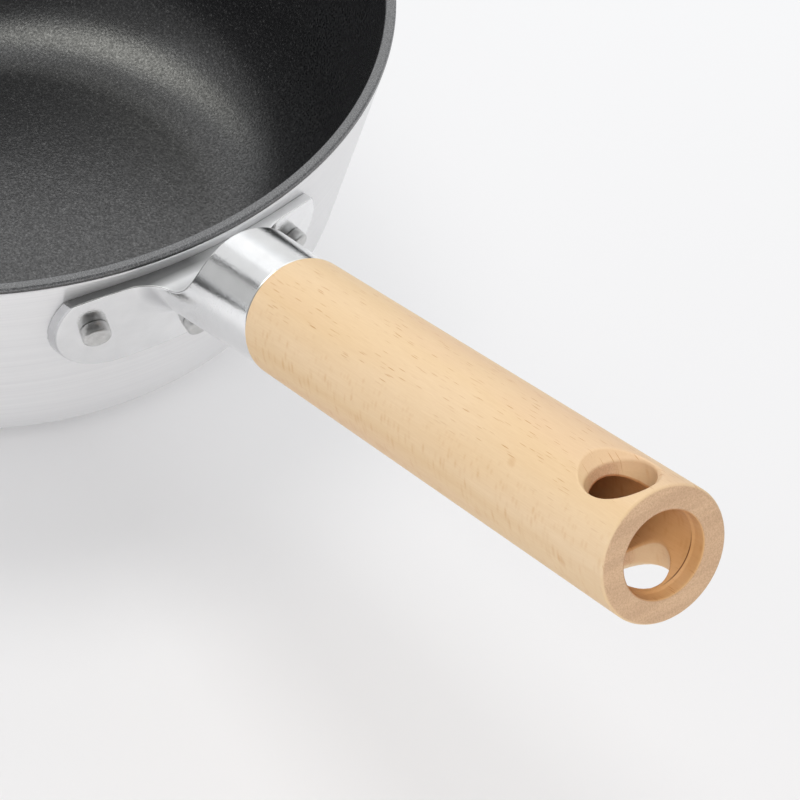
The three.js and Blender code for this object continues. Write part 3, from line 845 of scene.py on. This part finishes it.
def beech_look():
    """Grain along x and rays up z: flecks on top and below, ray figure on both sides, pores on the end, and
    painted light and shade in the end bore.
    """
    look = Look("beech", along_handle=True, specular_ior_level=0.5)
    clouds = look.noise(WOOD_CLOUDS)
    rings = look.noise(WOOD_RINGS)
    fibre = look.noise(WOOD_FIBRES, roughness=0.7)
    facing = look.parted(look.facing())
    place = look.parted(look.place())
    sideways = look.span(look.math("ABSOLUTE", facing["Y"]), *WOOD_SIDEWAYS, 0.0, 1.0)
    endways = look.span(look.math("ABSOLUTE", facing["X"]), *WOOD_ENDWAYS, 0.0, 1.0)

    wood = look.ramp(clouds, WOOD_TONES)
    wood = look.tinted(look.span(rings, *RING_RANGE, 0.0, RING_STRENGTH), wood, RING_TINT)
    wood = look.tinted(look.span(fibre, *NOISE_RANGE, FIBRE_STRENGTH, 0.0), wood, FIBRE_TINT)

    from_fleck, chance, depth = look.cells(WOOD_FLECKS)
    fleck = look.span(from_fleck, *FLECK_SIZE, 1.0, 0.0)
    fleck = look.times(fleck, look.span(depth, *CHANCE_RANGE, *FLECK_DEPTHS))
    fleck = look.times(fleck, look.span(chance, *CHANCE_RANGE, *FLECK_STRENGTHS))
    fleck = look.times(fleck, look.span(sideways, *FLECK_FADE, 1.0, 0.0))
    wood = look.tinted(fleck, wood, FLECK_TINT)
    from_ribbon, chance, _ = look.cells(WOOD_RIBBONS)
    ribbon = look.times(look.span(from_ribbon, *RIBBON_SIZE, 1.0, 0.0), look.times(sideways, chance))
    wood = look.tinted(ribbon, wood, RIBBON_TINT)
    from_spot, _, _ = look.cells(WOOD_SPOTS)
    wood = look.tinted(look.span(from_spot, *SPOT_SIZE, SPOT_STRENGTH, 0.0), wood, SPOT_TINT)

    ends = look.ramp(look.noise(WOOD_PORES, roughness=0.6), END_TONES)
    ends = look.tinted(look.span(rings, *END_RING_RANGE, END_RING_STRENGTH, 0.0), ends, END_RING_TINT)
    wood = look.mixed(endways, wood, ends)

    from_axis = look.node("ShaderNodeVectorMath", {0: look.stretched((0, 1, 1))}, operation="LENGTH")
    in_bore = look.span_mm(from_axis.outputs["Value"], BORE_SIDE, 1.0, 0.0)
    # Painted light and shade: the bore is darker on its upper left and lighter on its lower right
    low_side = look.math("SUBTRACT", place["Y"], place["Z"])
    bore = look.ramp(look.span_mm(low_side, BORE_LIGHT_ACROSS, 0.0, 1.0), BORE_LIGHT_AND_SHADE_TINTS)
    wood = look.mixed(in_bore, wood, bore, "MULTIPLY")
    from_step = look.math("ABSOLUTE", look.math("SUBTRACT", place["X"], BORE_STEP * MM))
    line = look.times(in_bore, look.span_mm(from_step, BORE_LINE_WIDTH, 1.0, 0.0))
    line = look.times(line, look.span_mm(low_side, BORE_LINE_ACROSS, 0.0, 1.0))
    wood = look.tinted(line, wood, BORE_LINE_TINT)

    look.put("Base Color", wood)
    look.put("Roughness", look.span(fibre, *NOISE_RANGE, *WOOD_ROUGHNESS))
    look.bump(fibre, WOOD_BUMP, 0.3)
    return look


def steel_look():
    look = Look("bolt_steel", metallic=1.0)
    clouds = look.noise(STEEL_CLOUDS, detail=3.0)
    look.put("Base Color", look.ramp(clouds, STEEL_TONES))
    look.put("Roughness", look.span(clouds, *NOISE_RANGE, *STEEL_ROUGHNESS))
    return look


dress(lining_look(), pan_lining)
dress(shell_look(), pan_shell)
dress(bracket_look(), bracket)
dress(rivet_look(), *rivet_pieces)
dress(beech_look(), handle)
dress(steel_look(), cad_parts["handle_bolt"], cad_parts["bolt_washer"])


# Studio

def sight_rays(nodes, links):
    """1 for what the camera sees, straight or in a mirror, and 0 for light on its way to a dull surface."""
    path = nodes.new("ShaderNodeLightPath")
    seen = path.outputs["Is Camera Ray"]
    for ray in ("Is Glossy Ray", "Is Transmission Ray"):
        either = nodes.new("ShaderNodeMath")
        either.operation = "MAXIMUM"
        links.new(seen, either.inputs[0])
        links.new(path.outputs[ray], either.inputs[1])
        seen = either.outputs["Value"]
    return seen


def floor_look():
    """Pale paper, painted paler away from the camera as light, that keeps part of its shadow, less of it on
    the bright right, and glows for the rest.
    """
    look = Look("pale_floor", roughness=1.0, specular_ior_level=0.0)
    # Painted light: the paper is paler away from the camera
    away = look.node("ShaderNodeVectorMath", {0: look.place(), 1: PAPER_DIRECTION}, operation="DOT_PRODUCT")
    paper = look.ramp(look.span_mm(away.outputs["Value"], PAPER_FALLOFF_ACROSS, 0.0, 1.0), PAPER_FALLOFF_TONES)
    look.put("Base Color", paper)
    own_light = look.node("ShaderNodeEmission", {"Color": paper}).outputs["Emission"]
    own_share = look.span_mm(look.parted(look.place())["Y"], OWN_LIGHT_ACROSS, *FLOOR_OWN_LIGHT)
    seen_share = look.times(sight_rays(look.nodes, look.links), own_share)
    both = look.node("ShaderNodeMixShader", {0: seen_share, 1: look.shader.outputs["BSDF"], 2: own_light})
    look.links.new(both.outputs["Shader"], look.nodes["Material Output"].inputs["Surface"])
    return look


def glow(name, strength, colour=(1, 1, 1)):
    """A stage card's material: an even glow."""
    material = bpy.data.materials.new(name)
    material.use_nodes = True
    nodes = material.node_tree.nodes
    nodes.remove(nodes["Principled BSDF"])
    emission = nodes.new("ShaderNodeEmission")
    emission.inputs["Color"].default_value = (*colour, 1)
    emission.inputs["Strength"].default_value = strength
    material.node_tree.links.new(emission.outputs["Emission"], nodes["Material Output"].inputs["Surface"])
    return material


def stage_sheet(name, corners, material):
    """A flat sheet of the studio, which is no piece of the pan."""
    mesh = bpy.data.meshes.new(name)
    mesh.from_pydata(corners, [], [(0, 1, 2, 3)])
    mesh.materials.append(material)
    sheet = bpy.data.objects.new(name, mesh)
    bpy.context.scene.collection.objects.link(sheet)
    return sheet


def add_floor():
    half = FLOOR_HALF_WIDTH
    corners = [(-half, -half, 0), (half, -half, 0), (half, half, 0), (-half, half, 0)]
    stage_sheet("floor", corners, floor_look().material)


def seen_from_pan(azimuth, elevation, distance):
    """A point in this direction from the pan, in metres, with angles in degrees."""
    turn, lift = math.radians(azimuth), math.radians(elevation)
    level = distance * math.cos(lift)
    return level * math.cos(turn), level * math.sin(turn), distance * math.sin(lift)


def mirrored_only(card):
    """Metal and gloss see the card, and nothing else does."""
    card.visible_camera = False
    card.visible_diffuse = False
    card.visible_shadow = False


def add_card(name, azimuths, elevations, distance, strength):
    """A card of even brightness that metal and gloss can mirror, out of the camera's sight."""
    (left, right), (low, high) = azimuths, elevations
    around = [(left, low), (right, low), (right, high), (left, high)]
    corners = [seen_from_pan(azimuth, elevation, distance) for azimuth, elevation in around]
    mirrored_only(stage_sheet(name, corners, glow(name, strength)))


def add_panel(name, corners, strength):
    """A level card, for the light that hangs over the pan as metal and gloss mirror it."""
    around = [(x, y, PANEL_HEIGHT) for x, y in corners]
    mirrored_only(stage_sheet(name, around, glow(name, strength, PANEL_COLOUR)))


def add_lamp(name, azimuth, elevation, distance, size, power, colour):
    """A soft rectangular lamp that faces the pan. Metal and gloss mirror the cards, not the lamps."""
    data = bpy.data.lights.new(name, "AREA")
    data.shape = "RECTANGLE"
    data.size, data.size_y = size
    data.energy = power
    data.color = colour
    lamp = bpy.data.objects.new(name, data)
    bpy.context.scene.collection.objects.link(lamp)
    lamp.location = seen_from_pan(azimuth, elevation, distance)
    lamp.rotation_euler = (-lamp.location).to_track_quat("-Z", "Y").to_euler()
    lamp.visible_camera = False
    lamp.visible_glossy = False


def add_world():
    """Even pale surroundings: white to the camera and in mirrors, and softer as light."""
    world = bpy.data.worlds.new("studio")
    bpy.context.scene.world = world
    world.use_nodes = True
    nodes, links = world.node_tree.nodes, world.node_tree.links
    background = nodes["Background"]
    background.inputs["Color"].default_value = (*WORLD_COLOUR, 1)
    strength = nodes.new("ShaderNodeMapRange")
    strength.inputs["To Min"].default_value = WORLD_LIGHT
    strength.inputs["To Max"].default_value = WORLD_SEEN
    links.new(sight_rays(nodes, links), strength.inputs["Value"])
    links.new(strength.outputs["Result"], background.inputs["Strength"])


def add_camera():
    """The photograph's camera, from its place, directions and lens."""
    look_along = Vector((
        math.cos(CAMERA_PITCH) * math.cos(CAMERA_YAW),
        math.cos(CAMERA_PITCH) * math.sin(CAMERA_YAW),
        math.sin(CAMERA_PITCH)))
    level = look_along.cross(Vector((0, 0, 1))).normalized()
    upright = level.cross(look_along)
    across = level * math.cos(CAMERA_ROLL) + upright * math.sin(CAMERA_ROLL)
    up = upright * math.cos(CAMERA_ROLL) - level * math.sin(CAMERA_ROLL)
    data = bpy.data.cameras.new("camera")
    data.sensor_fit = "HORIZONTAL"
    data.sensor_width = CAMERA_SENSOR
    data.lens = CAMERA_LENS
    data.clip_start = CAMERA_NEAR * MM
    camera = bpy.data.objects.new("camera", data)
    bpy.context.scene.collection.objects.link(camera)
    turn = Matrix((across, up, -look_along)).transposed().to_4x4()
    camera.matrix_world = Matrix.Translation(Vector(CAMERA_PLACE) * MM) @ turn
    bpy.context.scene.camera = camera


add_floor()
for name, lamp in LAMPS.items():
    add_lamp(name, *lamp)
for name, panel in PANELS.items():
    add_panel(name, *panel)
for name, card in CARDS.items():
    add_card(name, *card)
add_world()
add_camera()
bpy.context.scene.view_settings.view_transform = "Standard"
